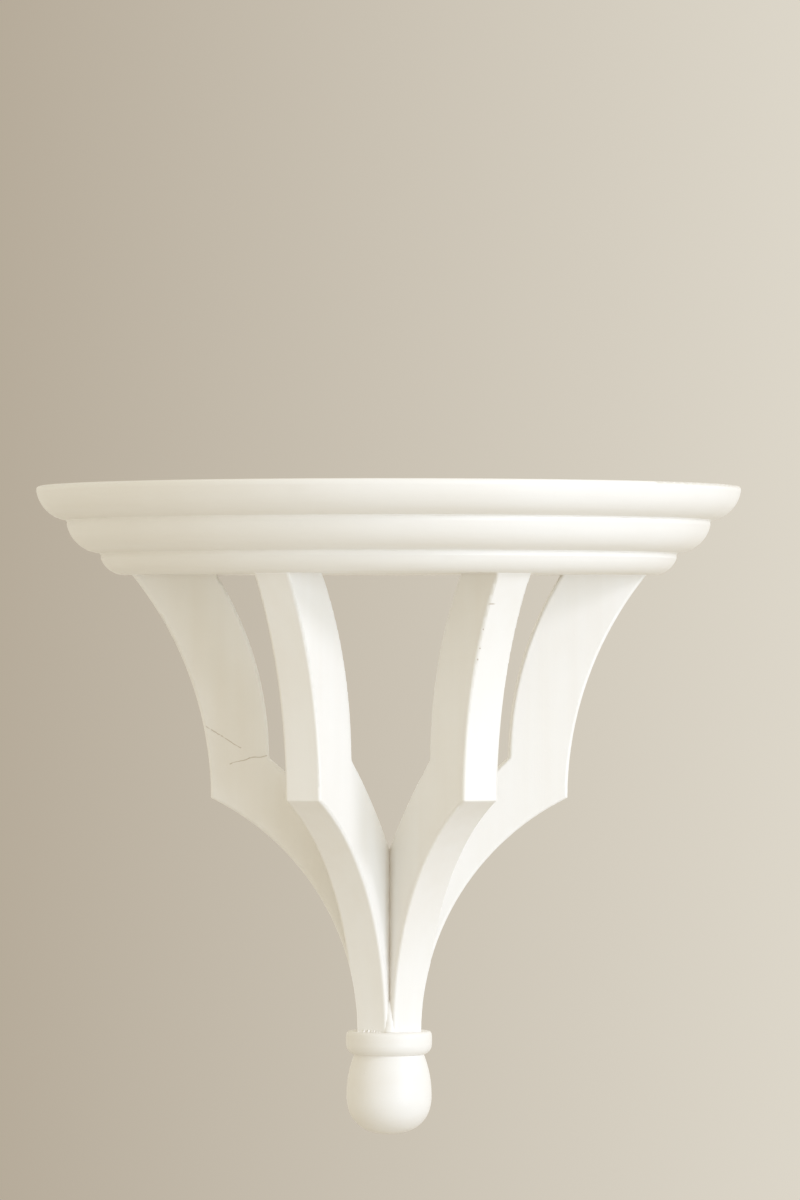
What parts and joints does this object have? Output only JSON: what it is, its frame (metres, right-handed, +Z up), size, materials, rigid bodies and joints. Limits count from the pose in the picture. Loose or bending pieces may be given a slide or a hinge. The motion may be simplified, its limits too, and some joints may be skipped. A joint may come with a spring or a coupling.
{
  "type": "wall shelf",
  "caption": "Half-round wall shelf in painted wood: stacked quarter-round layers on curved ribs that gather into a turned drop finial, hung on keyhole hangers.",
  "frame": {"origin": "on the wall plane, midway between the round entries of the two keyhole hangers", "axes": "+X to the right as the shelf is faced, -Y out from the wall into the room, +Z up"},
  "size_m": [0.406, 0.203, 0.3723],
  "materials": {
    "ivory_paint": "warm white brushed paint on wood, satin, eased edges",
    "zinc_screw": "zinc plated",
    "hanger_steel": "bright pressed steel",
    "beech": "bare beech"
  },
  "bodies": {
    "root": {"top_board": "ivory_paint", "middle_moulding": "ivory_paint", "lower_moulding": "ivory_paint", "left_outer_rib": "ivory_paint", "left_inner_rib": "ivory_paint", "right_inner_rib": "ivory_paint", "right_outer_rib": "ivory_paint", "finial": "ivory_paint", "finial_screw": "zinc_screw", "layer_screws": "zinc_screw", "rib_screws": "zinc_screw", "hanger_screws": "zinc_screw", "left_keyhole_hanger": "hanger_steel", "right_keyhole_hanger": "hanger_steel", "top_dowels": "beech", "rib_dowels": "beech", "outer_rib_dowel": "beech", "inner_rib_dowels": "beech"}
  },
  "joints": []
}
